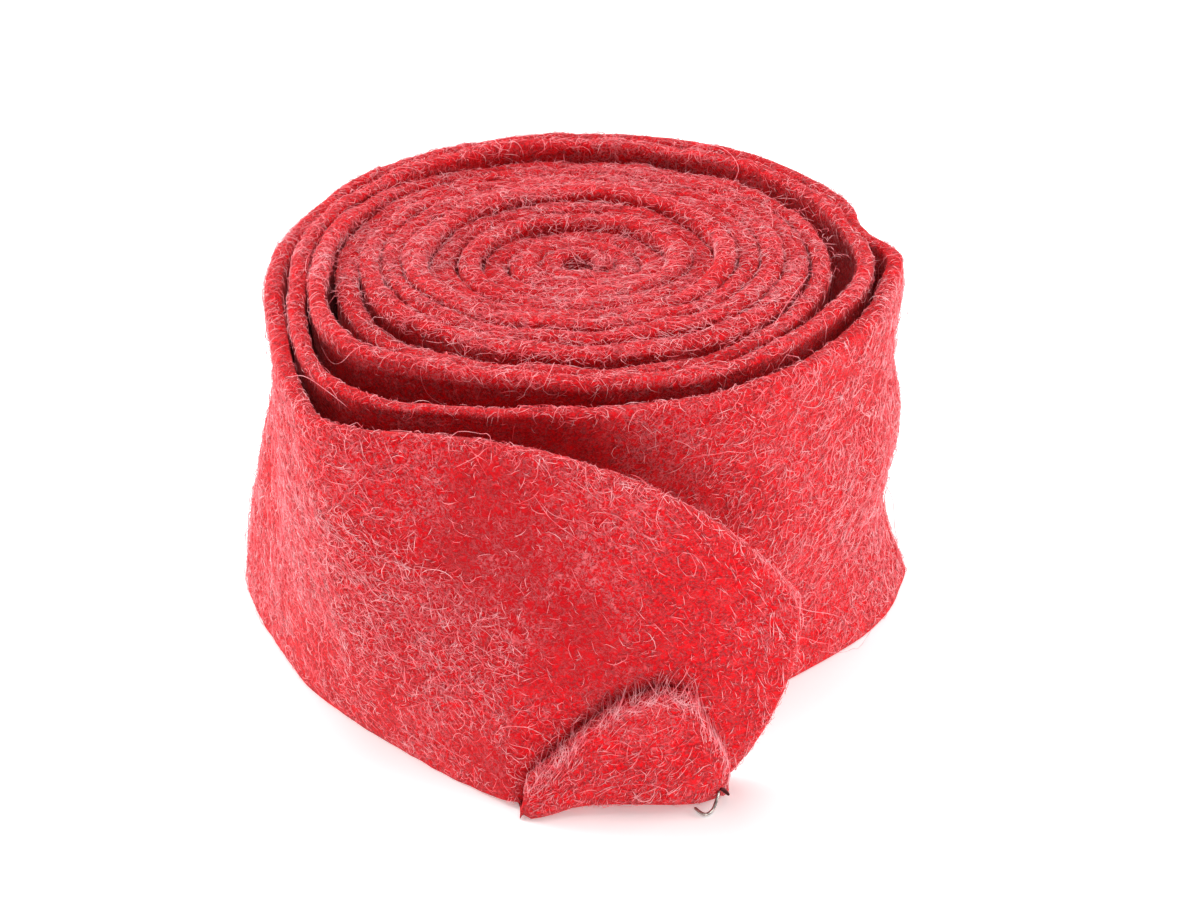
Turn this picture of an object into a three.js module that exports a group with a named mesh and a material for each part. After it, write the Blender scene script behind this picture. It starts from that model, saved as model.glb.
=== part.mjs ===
import * as THREE from 'three';

// A roll of thick red felt band, standing on its cut edge, all sizes in millimetres.
// The axis of the roll is Z, the floor is z = 0, the loose end stands towards -Y.

const BAND_THICKNESS = 3.4;
const HALF = BAND_THICKNESS / 2;
const STEPS_PER_TURN = 72;
const SEAM_GAP = 0.45;
const SWOLLEN_HALF = 2.9;
const GROOVE_DEPTH = 1.2;
const GROOVE_OPENING = 3.2;

// One row for each turn from the middle outwards: centre line radius and top height at four sides.
const TURNS = [
  { right: 4.2, back: 5.6, left: 6.2, front: 5.2, zRight: 75.4, zBack: 75.3, zLeft: 75.4, zFront: 76.2 },
  { right: 9.0, back: 9.8, left: 12.2, front: 10.6, zRight: 75.2, zBack: 75.3, zLeft: 75.6, zFront: 76.8 },
  { right: 14.6, back: 14.0, left: 18.2, front: 15.4, zRight: 75.4, zBack: 75.2, zLeft: 75.6, zFront: 77.0 },
  { right: 20.2, back: 19.2, left: 23.2, front: 21.0, zRight: 77.6, zBack: 77.2, zLeft: 77.0, zFront: 77.7 },
  { right: 24.6, back: 23.8, left: 28.6, front: 25.4, zRight: 76.9, zBack: 77.5, zLeft: 76.6, zFront: 77.7 },
  { right: 29.4, back: 28.8, left: 35.0, front: 29.6, zRight: 78.7, zBack: 79.2, zLeft: 78.4, zFront: 78.2 },
  { right: 34.0, back: 33.0, left: 39.2, front: 34.0, zRight: 78.0, zBack: 78.0, zLeft: 78.0, zFront: 77.8 },
  { right: 38.7, back: 36.9, left: 43.3, front: 39.4, zRight: 78.3, zBack: 77.8, zLeft: 78.1, zFront: 77.2 },
  { right: 43.6, back: 40.7, left: 47.3, front: 46.0, zRight: 77.6, zBack: 77.4, zLeft: 77.2, zFront: 76.0 },
  { right: 48.6, back: 44.5, left: 52.4, front: 49.9, zRight: 77.2, zBack: 76.8, zLeft: 79.0, zFront: 76.4 },
  { right: 58.0, back: 48.6, left: 57.2, front: 58.3, zRight: 76.8, zBack: 80.8, zLeft: 77.6, zFront: 74.5 },
  { right: 63.0, back: 52.4, left: 61.4, front: 68.0, zRight: 75.4, zBack: 79.9, zLeft: 75.6, zFront: 74.0 },
];

// Local pushes of one turn: turn number, direction in degrees, spread in degrees, push in millimetres.
const PUSHES = [
  { turn: 3, angle: 158, spread: 14, push: -1.2 },
  { turn: 3, angle: 322, spread: 20, push: -1.2 },
  { turn: 4, angle: 322, spread: 22, push: 0.8 },
  { turn: 5, angle: 155, spread: 14, push: -2.4 },
  { turn: 7, angle: 213, spread: 19, push: 1.2 },
  { turn: 8, angle: 221, spread: 25, push: 4.4 },
  { turn: 9, angle: 218, spread: 23, push: 7.4 },
  { turn: 9, angle: 328, spread: 22, push: -3.0 },
  { turn: 10, angle: 228, spread: 24, push: 10.8 },
  { turn: 10, angle: 326, spread: 26, push: -2.6 },
  { turn: 11, angle: 4.5, spread: 6, push: 1.7 },
  { turn: 11, angle: 15.5, spread: 7, push: -3.0 },
  { turn: 11, angle: 52, spread: 24, push: 1.2 },
  { turn: 11, angle: 118, spread: 24, push: 1.0 },
  { turn: 11, angle: 143, spread: 22, push: 2.0 },
];

// How the outer wall stands below its top edge, by direction: lean of the whole wall, flare of its foot, waves.
const WALL = [
  { angle: 0, lean: -1.2, foot: 5.2, wave: 1.4 },
  { angle: 45, lean: 0.0, foot: 2.4, wave: 0.8 },
  { angle: 90, lean: 0.0, foot: 1.6, wave: 0.8 },
  { angle: 135, lean: 0.4, foot: 1.8, wave: 0.5 },
  { angle: 180, lean: -1.4, foot: 0.2, wave: 0.3 },
  { angle: 225, lean: -6.6, foot: 0.0, wave: 0.5 },
  { angle: 270, lean: -3.5, foot: 0.4, wave: 0.8 },
  { angle: 315, lean: -5.8, foot: 2.9, wave: 0.8 },
  { angle: 360, lean: -1.2, foot: 5.2, wave: 1.4 },
];
const FOOT_HEIGHT = 18;

// The outermost turn ends here and the loose end goes on from the same place.
const LAST_TURN = 11;
const LAST_ANGLE = 160;

// The loose end from the roll to its cut edge: top and bottom of the middle of the band,
// how far the middle height stands out, how far it sways to the right,
// and how much of the lower corner is folded up in front.
const LOOSE = [
  { topX: -56.6, topY: 20.6, topZ: 76.6, lowX: -58.8, lowY: 21.4, lowZ: 0.0, out: -0.6, sway: 0, fold: 0 },
  { topX: -60.9, topY: 9.0, topZ: 76.0, lowX: -69.2, lowY: 9.6, lowZ: 0.0, out: -1.6, sway: 0, fold: 0 },
  { topX: -63.0, topY: -3.0, topZ: 75.5, lowX: -70.0, lowY: -3.4, lowZ: 0.0, out: -2.4, sway: 0, fold: 0 },
  { topX: -62.6, topY: -13.0, topZ: 75.1, lowX: -66.2, lowY: -16.4, lowZ: 0.0, out: -2.4, sway: 0, fold: 0 },
  { topX: -60.6, topY: -25.6, topZ: 74.7, lowX: -61.0, lowY: -29.2, lowZ: 0.0, out: -1.4, sway: 0, fold: 0 },
  { topX: -58.2, topY: -39.0, topZ: 74.3, lowX: -54.9, lowY: -41.3, lowZ: 0.0, out: 0.6, sway: 0, fold: 0 },
  { topX: -54.8, topY: -51.6, topZ: 74.0, lowX: -47.4, lowY: -50.8, lowZ: 0.0, out: 1.6, sway: 0, fold: 0 },
  { topX: -51.2, topY: -60.6, topZ: 73.8, lowX: -39.1, lowY: -59.7, lowZ: 0.0, out: 2.4, sway: 0, fold: 0 },
  { topX: -44.0, topY: -65.4, topZ: 73.8, lowX: -30.5, lowY: -67.9, lowZ: 0.0, out: 1.8, sway: 0, fold: 0 },
  { topX: -30.0, topY: -68.4, topZ: 74.4, lowX: -21.4, lowY: -76.2, lowZ: 0.0, out: 1.0, sway: 0, fold: 0 },
  { topX: -15.0, topY: -72.8, topZ: 74.9, lowX: -12.4, lowY: -83.0, lowZ: 1.0, out: 0.6, sway: 0, fold: 1.5 },
  { topX: -3.6, topY: -77.4, topZ: 74.5, lowX: -2.5, lowY: -81.4, lowZ: 3.4, out: 0.4, sway: 0, fold: 13 },
  { topX: 6.4, topY: -82.0, topZ: 73.3, lowX: 7.0, lowY: -80.8, lowZ: 3.7, out: 0.2, sway: 0.4, fold: 25 },
  { topX: 15.6, topY: -84.6, topZ: 70.2, lowX: 14.6, lowY: -80.6, lowZ: 3.7, out: 0.0, sway: 1, fold: 35 },
  { topX: 25.0, topY: -84.3, topZ: 63.8, lowX: 20.6, lowY: -79.8, lowZ: 3.7, out: 0.0, sway: 2, fold: 19 },
  { topX: 34.0, topY: -82.6, topZ: 55.2, lowX: 25.2, lowY: -77.2, lowZ: 3.7, out: 0.0, sway: 3.2, fold: 7 },
  { topX: 40.4, topY: -81.4, topZ: 46.6, lowX: 28.6, lowY: -75.6, lowZ: 3.5, out: 0.0, sway: 3.6, fold: 0 },
];
const WAIST_RISE = 0.45;
const STEPS_PER_ROW = 3;
const FACE_ROWS = 7;
const FOLD_ROWS = 8;
const FOLD_RADIUS = HALF + 0.25;
const FOLD_START = 4.5;
const FOLD_SPRING = 2.2;
const FOLD_TIGHT = 7;

// The thin steel wire pin at the foot of the folded corner, lying on the floor.
const WIRE_RADIUS = 0.35;
const WIRE_SIDES = 8;
const WIRE_STEPS = 26;
const WIRE = [
  { x: 20.8, y: -85.2, z: 0.55 },
  { x: 22.4, y: -87.2, z: 0.45 },
  { x: 24.2, y: -87.6, z: 0.45 },
  { x: 26.0, y: -85.4, z: 0.5 },
  { x: 27.4, y: -83.6, z: 1.1 },
  { x: 28.9, y: -82.2, z: 2.1 },
];

function smoothAt(values, t) {
  const last = values.length - 1;
  const i = Math.min(Math.max(Math.floor(t), 0), last - 1);
  const f = t - i;
  const at = (n) => values[Math.min(Math.max(n, 0), last)];
  const before = (at(i + 1) - at(i - 1)) / 2;
  const after = (at(i + 2) - at(i)) / 2;
  const f2 = f * f;
  const f3 = f2 * f;
  return at(i) * (2 * f3 - 3 * f2 + 1) + before * (f3 - 2 * f2 + f)
    + at(i + 1) * (3 * f2 - 2 * f3) + after * (f3 - f2);
}

const RADII = TURNS.flatMap((row) => [row.right, row.back, row.left, row.front]);
const HEIGHTS = TURNS.flatMap((row) => [row.zRight, row.zBack, row.zLeft, row.zFront]);

// Place on the winding, counted in turns from the middle.
function turnRadius(place) {
  let r = smoothAt(RADII, place * 4);
  for (const row of PUSHES) {
    const away = ((place - row.turn) * 360 - row.angle) / row.spread;
    r += row.push * Math.exp(-away * away);
  }
  return r;
}

function turnHeight(place) {
  return smoothAt(HEIGHTS, place * 4);
}

// Half the thickness of the top edge: the tightly wound middle turns swell until they touch.
function topHalf(place) {
  return THREE.MathUtils.lerp(SWOLLEN_HALF, HALF, THREE.MathUtils.smoothstep(place, 7.6, 9.4));
}

function wallOffset(angle, z, height) {
  const turned = ((angle % 360) + 360) % 360;
  const t = turned / 45;
  const lean = smoothAt(WALL.map((row) => row.lean), t);
  const foot = smoothAt(WALL.map((row) => row.foot), t);
  const down = 1 - z / height;
  const low = Math.max(0, 1 - z / FOOT_HEIGHT);
  const swing = Math.cos(down * Math.PI * 4) * Math.sin(down * Math.PI);
  const wave = smoothAt(WALL.map((row) => row.wave), t) * swing;
  return lean * down + foot * low * low + wave;
}

function meshFrom(name, points, faces, colour) {
  const geometry = new THREE.BufferGeometry();
  geometry.setAttribute('position', new THREE.Float32BufferAttribute(points.flat(), 3));
  geometry.setIndex(faces.flat());
  geometry.computeVertexNormals();
  const material = new THREE.MeshStandardMaterial(colour);
  const mesh = new THREE.Mesh(geometry, material);
  mesh.name = name;
  return mesh;
}

function woundRoll() {
  const points = [];
  const faces = [];
  const add = (x, y, z) => points.push([x, y, z]) - 1;
  const quad = (a, b, c, d) => faces.push([a, b, c], [a, c, d]);
  const count = Math.round((LAST_TURN + LAST_ANGLE / 360) * STEPS_PER_TURN) + 1;
  const inner = [];
  const outer = [];
  const groove = [];
  const spokes = [];
  for (let i = 0; i < count; i += 1) {
    const place = i / STEPS_PER_TURN;
    const angle = place * 2 * Math.PI;
    const r = turnRadius(place);
    const top = turnHeight(place);
    const insideGap = i >= STEPS_PER_TURN ? r - turnRadius(place - 1) : 2 * BAND_THICKNESS;
    const hasNext = i + STEPS_PER_TURN < count;
    const outsideGap = hasNext ? turnRadius(place + 1) - r : 2 * BAND_THICKNESS;
    const half = topHalf(place);
    const rIn = r - Math.min(half, insideGap / 2 - 0.15);
    const rOut = r + Math.min(half, outsideGap / 2 - 0.15);
    const spoke = { angle, cos: Math.cos(angle), sin: Math.sin(angle), rIn, rOut, top };
    spokes.push(spoke);
    inner.push(add(rIn * spoke.cos, rIn * spoke.sin, top));
    outer.push(add(rOut * spoke.cos, rOut * spoke.sin, top));
    if (hasNext) {
      const nextTop = turnHeight(place + 1);
      const open = Math.max(0, outsideGap - half - topHalf(place + 1));
      const ramp = Math.min(1, i / 8);
      const depth = 0.3 + ramp * (GROOVE_DEPTH + GROOVE_OPENING * open);
      spoke.rGroove = (r + turnRadius(place + 1)) / 2;
      spoke.grooveTop = Math.min(top, nextTop) - depth;
      groove.push(add(spoke.rGroove * spoke.cos, spoke.rGroove * spoke.sin, spoke.grooveTop));
    }
  }
  for (let i = 0; i + 1 < count; i += 1) {
    quad(inner[i], outer[i], outer[i + 1], inner[i + 1]);
    if (i + 1 < groove.length) {
      const j = i + STEPS_PER_TURN;
      quad(outer[i], groove[i], groove[i + 1], outer[i + 1]);
      quad(groove[i], inner[j], inner[j + 1], groove[i + 1]);
    }
  }

  // The eye of the spiral is a small pit closed by a fan.
  const eye = add(0, 0, 66);
  const rim = [...inner.slice(0, STEPS_PER_TURN + 1), groove[0], outer[0]];
  for (let i = 0; i < rim.length; i += 1) {
    faces.push([eye, rim[i], rim[(i + 1) % rim.length]]);
  }

  // The outline of the roll: the last whole turn, then the step at the end of the outermost turn.
  const first = count - STEPS_PER_TURN - 1;
  const outline = [];
  for (let i = first; i < count; i += 1) {
    outline.push({ at: outer[i], spoke: spokes[i], r: spokes[i].rOut, z: spokes[i].top });
  }
  const end = spokes[count - 1];
  const under = spokes[first];
  outline.push({ at: inner[count - 1], spoke: end, r: end.rIn, z: end.top });
  outline.push({ at: groove[first], spoke: under, r: under.rGroove, z: under.grooveTop });
  const levels = [0.86, 0.7, 0.54, 0.4, 0.27, 0.15, 0.07, 0];
  let above = outline.map((item) => item.at);
  for (const level of levels) {
    const ring = outline.map((item) => {
      const z = item.z * level;
      const r = item.r + wallOffset(THREE.MathUtils.radToDeg(item.spoke.angle), z, item.z);
      return add(r * item.spoke.cos, r * item.spoke.sin, z);
    });
    for (let i = 0; i < ring.length; i += 1) {
      const j = (i + 1) % ring.length;
      quad(above[i], ring[i], ring[j], above[j]);
    }
    above = ring;
  }
  const flat = above.map((n) => new THREE.Vector2(points[n][0], points[n][1]));
  for (const [a, b, c] of THREE.ShapeUtils.triangulateShape(flat, [])) {
    faces.push([above[a], above[c], above[b]]);
  }
  return meshFrom('wound_roll', points, faces, { color: 0xc81e32, roughness: 0.95 });
}

// The loose end starts square to the step of the outermost turn, a hair's breadth away from it.
const START_PLACE = LAST_TURN + LAST_ANGLE / 360;
const START_RADIUS = turnRadius(START_PLACE);
const START_ANGLE = THREE.MathUtils.degToRad(LAST_ANGLE) + SEAM_GAP / START_RADIUS;
const START_OUT = new THREE.Vector3(Math.cos(START_ANGLE), Math.sin(START_ANGLE), 0);
const START_LOW = START_RADIUS + wallOffset(LAST_ANGLE, 0, turnHeight(START_PLACE));
LOOSE[0].topX = START_RADIUS * START_OUT.x;
LOOSE[0].topY = START_RADIUS * START_OUT.y;
LOOSE[0].topZ = turnHeight(START_PLACE);
LOOSE[0].lowX = START_LOW * START_OUT.x;
LOOSE[0].lowY = START_LOW * START_OUT.y;

// Middle surface of the loose end: u runs along the rows of LOOSE, v from the top edge to the bottom.
function looseMiddle(u, v) {
  const at = (key) => smoothAt(LOOSE.map((row) => row[key]), u);
  const top = new THREE.Vector3(at('topX'), at('topY'), at('topZ'));
  const low = new THREE.Vector3(at('lowX'), at('lowY'), at('lowZ'));
  const middle = top.clone().lerp(low, v);
  const outward = new THREE.Vector3(middle.x, middle.y, 0).normalize();
  const arch = 4 * v * (1 - v);
  const waist = Math.min(at('out'), 0) * WAIST_RISE * Math.sin(2 * Math.PI * v);
  middle.addScaledVector(outward, at('out') * arch * (1.25 - 0.5 * v) + waist);
  middle.x += at('sway') * arch;
  return middle;
}

function looseNormal(u, v) {
  if (u === 0) return START_OUT.clone();
  const d = 0.02;
  const last = LOOSE.length - 1;
  const along = looseMiddle(Math.min(u + d, last), v).sub(looseMiddle(Math.max(u - d, 0), v));
  const down = looseMiddle(u, Math.min(v + d, 1)).sub(looseMiddle(u, Math.max(v - d, 0)));
  return down.cross(along).normalize();
}

// Straight from row to row, so that the corner of the cloth stays a corner.
function foldedLength(u) {
  const i = Math.min(Math.floor(u), LOOSE.length - 2);
  return THREE.MathUtils.lerp(LOOSE[i].fold, LOOSE[i + 1].fold, u - i);
}

// Lengths below the top edge at which the band is cut into rows; they crowd round the bend of the fold.
function rowLengths(tall, fold) {
  const lengths = [];
  for (let j = 0; j < FACE_ROWS; j += 1) {
    lengths.push((tall - FOLD_START) * (j / FACE_ROWS));
  }
  const bend = Math.min(fold * 0.7, Math.PI * FOLD_RADIUS);
  const sharp = THREE.MathUtils.smoothstep(fold, 0, FOLD_TIGHT);
  for (let j = 0; j <= FOLD_ROWS; j += 1) {
    const even = -FOLD_START + (FOLD_START + fold) * (j / FOLD_ROWS);
    const inBend = bend * ((j - 1) / 5);
    const above = bend + (fold - bend) * ((j - 6) / (FOLD_ROWS - 6));
    const placed = j === 0 ? -FOLD_START : j <= 6 ? inBend : above;
    lengths.push(tall + THREE.MathUtils.lerp(even, placed, sharp));
  }
  return lengths;
}

// A point of the band below its top edge, measured along the cloth; past the fold it turns up in front.
function loosePoint(u, length, tall) {
  if (length <= tall) {
    const v = length / tall;
    return { at: looseMiddle(u, v), normal: looseNormal(u, v) };
  }
  const past = length - tall;
  const foldPoint = looseMiddle(u, 1);
  const out = looseNormal(u, 1);
  const down = looseMiddle(u, 1).sub(looseMiddle(u, 0.97)).normalize();
  const turn = Math.min(past / FOLD_RADIUS, Math.PI);
  if (turn < Math.PI) {
    const at = foldPoint.addScaledVector(down, FOLD_RADIUS * Math.sin(turn))
      .addScaledVector(out, FOLD_RADIUS * (1 - Math.cos(turn)));
    const normal = out.clone().multiplyScalar(Math.cos(turn)).addScaledVector(down, -Math.sin(turn));
    return { at, normal };
  }
  const up = past - Math.PI * FOLD_RADIUS;
  const v = 1 - up / tall;
  const spring = FOLD_SPRING * (up / 28) ** 1.4;
  const normal = looseNormal(u, v);
  const at = looseMiddle(u, v).addScaledVector(normal, 2 * FOLD_RADIUS + spring);
  return { at, normal: normal.negate() };
}

function looseEnd() {
  const points = [];
  const faces = [];
  const rows = FACE_ROWS + FOLD_ROWS;
  const across = rows + 1;
  const faceOut = [];
  const faceIn = [];
  const steps = STEPS_PER_ROW * (LOOSE.length - 1);
  for (let i = 0; i <= steps; i += 1) {
    const u = i / STEPS_PER_ROW;
    const tall = looseMiddle(u, 0).distanceTo(looseMiddle(u, 1));
    for (const length of rowLengths(tall, foldedLength(u))) {
      const { at, normal } = loosePoint(u, length, tall);
      const outside = at.clone().addScaledVector(normal, HALF);
      const inside = at.clone().addScaledVector(normal, -HALF);
      faceOut.push(points.push([outside.x, outside.y, Math.max(outside.z, 0)]) - 1);
      faceIn.push(points.push([inside.x, inside.y, Math.max(inside.z, 0)]) - 1);
    }
  }
  const quad = (a, b, c, d) => faces.push([a, b, c], [a, c, d]);
  for (let i = 0; i < steps; i += 1) {
    for (let j = 0; j < rows; j += 1) {
      const a = i * across + j;
      const b = a + across;
      quad(faceOut[a], faceOut[a + 1], faceOut[b + 1], faceOut[b]);
      quad(faceIn[a], faceIn[b], faceIn[b + 1], faceIn[a + 1]);
    }
    const top = i * across;
    const low = top + rows;
    quad(faceOut[top], faceOut[top + across], faceIn[top + across], faceIn[top]);
    quad(faceOut[low], faceIn[low], faceIn[low + across], faceOut[low + across]);
  }
  const endRow = steps * across;
  for (let j = 0; j < rows; j += 1) {
    quad(faceOut[j], faceIn[j], faceIn[j + 1], faceOut[j + 1]);
    quad(faceOut[endRow + j], faceOut[endRow + j + 1], faceIn[endRow + j + 1], faceIn[endRow + j]);
  }
  return meshFrom('loose_end', points, faces, { color: 0xd2283c, roughness: 0.95 });
}

function wirePin() {
  const curve = new THREE.CatmullRomCurve3(WIRE.map((p) => new THREE.Vector3(p.x, p.y, p.z)));
  const section = new THREE.Shape();
  for (let i = 0; i < WIRE_SIDES; i += 1) {
    const turn = (i / WIRE_SIDES) * 2 * Math.PI;
    const x = WIRE_RADIUS * Math.cos(turn);
    const y = WIRE_RADIUS * Math.sin(turn);
    if (i === 0) section.moveTo(x, y);
    else section.lineTo(x, y);
  }
  section.closePath();
  const options = { steps: WIRE_STEPS, bevelEnabled: false, extrudePath: curve };
  const geometry = new THREE.ExtrudeGeometry(section, options);
  const material = new THREE.MeshStandardMaterial({ color: 0x9a9a98, roughness: 0.35, metalness: 1 });
  const mesh = new THREE.Mesh(geometry, material);
  mesh.name = 'corner_pin';
  return mesh;
}

const part = new THREE.Group();
part.name = 'felt_roll';
part.add(woundRoll(), looseEnd(), wirePin());
export default part;
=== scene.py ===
import math

import bpy
import numpy as np
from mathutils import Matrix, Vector
from mathutils.bvhtree import BVHTree


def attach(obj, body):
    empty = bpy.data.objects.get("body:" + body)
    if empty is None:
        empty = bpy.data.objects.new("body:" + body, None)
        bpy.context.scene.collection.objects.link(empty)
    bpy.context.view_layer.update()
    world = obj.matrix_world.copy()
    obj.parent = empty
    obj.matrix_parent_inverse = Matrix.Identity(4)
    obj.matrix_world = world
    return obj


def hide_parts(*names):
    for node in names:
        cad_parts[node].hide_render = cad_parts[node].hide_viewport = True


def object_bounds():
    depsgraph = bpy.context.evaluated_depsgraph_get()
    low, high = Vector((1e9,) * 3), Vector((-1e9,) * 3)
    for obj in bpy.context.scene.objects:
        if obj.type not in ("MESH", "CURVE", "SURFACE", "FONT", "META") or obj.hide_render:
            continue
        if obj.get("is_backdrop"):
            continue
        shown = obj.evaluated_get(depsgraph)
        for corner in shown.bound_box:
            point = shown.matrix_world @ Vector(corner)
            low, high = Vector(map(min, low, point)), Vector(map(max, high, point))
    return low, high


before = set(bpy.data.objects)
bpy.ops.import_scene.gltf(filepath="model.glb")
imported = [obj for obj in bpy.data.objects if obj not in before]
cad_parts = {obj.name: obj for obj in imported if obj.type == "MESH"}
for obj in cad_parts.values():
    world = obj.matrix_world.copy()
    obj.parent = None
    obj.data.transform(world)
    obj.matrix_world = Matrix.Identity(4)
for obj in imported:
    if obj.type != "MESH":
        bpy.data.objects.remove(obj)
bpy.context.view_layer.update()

# A roll of thick red felt band standing on its cut edge. Tables are in millimetres, objects in metres.
MM = 0.001
BAND_THICKNESS = 3.4
HALF = BAND_THICKNESS / 2
# The wound part has this many turns, each given at this many sides.
TURNS = 12
SIDES = 4

# The camera stands in front and above, and looks 30 degrees down.
CAMERA_AT = (1.45, -665.1, 415.0)
CAMERA_PITCH = 29.96
CAMERA_YAW = 0.18
CAMERA_LENS = 109.446
CAMERA_SENSOR = 36.0

# Centre line radius of each turn, from the middle outwards, at the right, back, left and front.
RADII = [
    4.2, 5.6, 6.2, 5.2,
    9.0, 9.8, 12.2, 10.6,
    14.6, 14.0, 18.2, 15.4,
    20.2, 19.2, 23.2, 21.0,
    24.6, 23.8, 28.6, 25.4,
    29.4, 28.8, 35.0, 29.6,
    34.0, 33.0, 39.2, 34.0,
    38.7, 36.9, 43.3, 39.4,
    43.6, 40.7, 47.3, 46.0,
    48.6, 44.5, 52.4, 49.9,
    58.0, 48.6, 57.2, 58.3,
    63.0, 52.4, 61.4, 68.0,
]

# Height of the top edge of each turn, at the same four sides.
HEIGHTS = [
    75.4, 75.3, 75.4, 76.2,
    75.2, 75.3, 75.6, 76.8,
    75.4, 75.2, 75.6, 77.0,
    77.6, 77.2, 77.0, 77.7,
    76.9, 77.5, 76.6, 77.7,
    78.7, 79.2, 78.4, 78.2,
    78.0, 78.0, 78.0, 77.8,
    78.3, 77.8, 78.1, 77.2,
    77.6, 77.4, 77.2, 76.0,
    77.2, 76.8, 79.0, 76.4,
    76.8, 80.8, 77.6, 74.5,
    75.4, 79.9, 75.6, 74.0,
]

# Local pushes of one turn: turn, direction in degrees, spread in degrees, push.
PUSHES = [
    (3, 158, 14, -1.2),
    (3, 322, 20, -1.2),
    (4, 322, 22, 0.8),
    (5, 155, 14, -2.4),
    (7, 213, 19, 1.2),
    (8, 221, 25, 4.4),
    (9, 218, 23, 7.4),
    (9, 328, 22, -3.0),
    (10, 228, 24, 10.8),
    (10, 326, 26, -2.6),
    (11, 4.5, 6, 1.7),
    (11, 15.5, 7, -3.0),
    (11, 52, 24, 1.2),
    (11, 118, 24, 1.0),
    (11, 143, 22, 2.0),
]

# Lean of the outer wall, flare of its foot and its waves, every 45 degrees from the right.
WALL_LEAN = [-1.2, 0.0, 0.0, 0.4, -1.4, -6.6, -3.5, -5.8, -1.2]
WALL_FOOT = [5.2, 2.4, 1.6, 1.8, 0.2, 0.0, 0.4, 2.9, 5.2]
WALL_WAVE = [1.4, 0.8, 0.8, 0.5, 0.3, 0.5, 0.8, 0.8, 1.4]
WALL_STEP = 45.0
WALL_WAVES = 4
FOOT_HEIGHT = 18.0
# The lean fades over this many turns towards the middle.
LEAN_TURNS = 8
# Where the outermost turn ends, in turns from the middle: 160 degrees into the last one.
LAST_PLACE = TURNS - 1 + 160 / 360

# The loose end: top x, y, z, low x, y, z of the middle of the band,
# how far the middle height stands out, how far it sways to the right.
LOOSE = np.array([
    (-56.6, 20.6, 76.6, -58.8, 21.4, 0.0, -0.6, 0.0),
    (-60.9, 9.0, 76.0, -69.2, 9.6, 0.0, -1.6, 0.0),
    (-63.0, -3.0, 75.5, -70.0, -3.4, 0.0, -2.4, 0.0),
    (-62.6, -13.0, 75.1, -66.2, -16.4, 0.0, -2.4, 0.0),
    (-60.6, -25.6, 74.7, -61.0, -29.2, 0.0, -1.4, 0.0),
    (-58.2, -39.0, 74.3, -54.9, -41.3, 0.0, 0.6, 0.0),
    (-54.8, -51.6, 74.0, -47.4, -50.8, 0.0, 1.6, 0.0),
    (-51.2, -60.6, 73.8, -39.1, -59.7, 0.0, 2.4, 0.0),
    (-44.0, -65.4, 73.8, -30.5, -67.9, 0.0, 1.8, 0.0),
    (-30.0, -68.4, 74.4, -21.4, -76.2, 0.0, 1.0, 0.0),
    (-15.0, -72.8, 74.9, -12.4, -83.0, 1.0, 0.6, 0.0),
    (-3.6, -77.4, 74.5, -2.5, -81.4, 3.4, 0.4, 0.0),
    (6.4, -82.0, 73.3, 7.0, -80.8, 3.7, 0.2, 0.4),
    (15.6, -84.6, 70.2, 14.6, -80.6, 3.7, 0.0, 1.0),
    (25.0, -84.3, 63.8, 20.6, -79.8, 3.7, 0.0, 2.0),
    (34.0, -82.6, 55.2, 25.2, -77.2, 3.7, 0.0, 3.2),
    (40.4, -81.4, 46.6, 28.6, -75.6, 3.5, 0.0, 3.6),
])
OUT, SWAY = 6, 7
WAIST_RISE = 0.45
# It stands out most a little above its middle, and leaves the shape of the wall over two rows.
BOW_TOP, BOW_FALL = 1.25, 0.5
JOIN_ROWS = 2.2
FOLD_RADIUS = HALF + 0.25
FOLD_START = 4.5
FOLD_SPRING = 0.6
SPRING_LENGTH = 28.0
SPRING_POWER = 1.4
FOLD_TIGHT = 7.0
BEND_SHARE = 0.7
NEAR_FOOT = 0.97
# Length folded up in front along the rows of LOOSE: blunt at its near end, none at the far end.
FOLD_AT = [10.0, 10.2, 11.0, 12.0, 13.0, 13.6, 14.0, 15.0, 16.0]
FOLD_LENGTH = [0.0, 13.0, 18.5, 27.5, 31.5, 30.0, 22.0, 8.0, 0.0]
FLAP_FROM, FLAP_TO = 10.25, 15.2

# Mesh of the band: rows down its face, rows round the bend of the fold, rows above it.
FACE_ROWS = 12
BEND_ROWS = 6
FLAP_ROWS = 4
ROWS = FACE_ROWS + 1 + BEND_ROWS + FLAP_ROWS
CROWD_FROM, CROWD_TO = 4, 9
CAP_ANGLES = np.radians([22, 54, 90, 126, 158])
CAP_POWER = 0.75
TOP_ROUNDING = 0.62
LOW_ROUNDING = 0.35
# Half thickness of the swollen inner turns, and the turns over which it falls to the plain one.
SWOLLEN_HALF = 2.9
SWOLLEN_TO, PLAIN_FROM = 7.6, 9.4
TURN_GAP = 0.05
# Spacing of the cross-sections along the band, and the turn from which they lie closer.
INNER_SPACING = 2.2
OUTER_SPACING = 1.5
CLOSER_FROM = 8.4
PATH_SAMPLES = 400
PATH_LEVEL = 0.4
FIRST_STEP, LEAST_STEP = 0.8, 0.4
FOLD_ROW = 10
# Waviness of the top edge, by drift, fine waves, nubs and the band's own run.
TOP_DRIFT, TOP_FINE, TOP_NUBS, TOP_OWN = 0.30, 0.26, 0.16, 0.55
UPPER_SHARE = 0.18
UPPER_POWER = 1.5
FACE_DRIFT, FACE_FINE = 0.16, 0.10
INNER_SWAY, ADDED_SWAY = 0.5, 0.9
ROUGH_FINE, ROUGH_NUBS = 0.05, 0.03
# Cross-sections, counted from the end of the wound part, over which the waves fade or grow.
OWN_NONE, OWN_FULL = 60, -200
SWAY_FROM, SWAY_FULL = -420, -330
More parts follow.
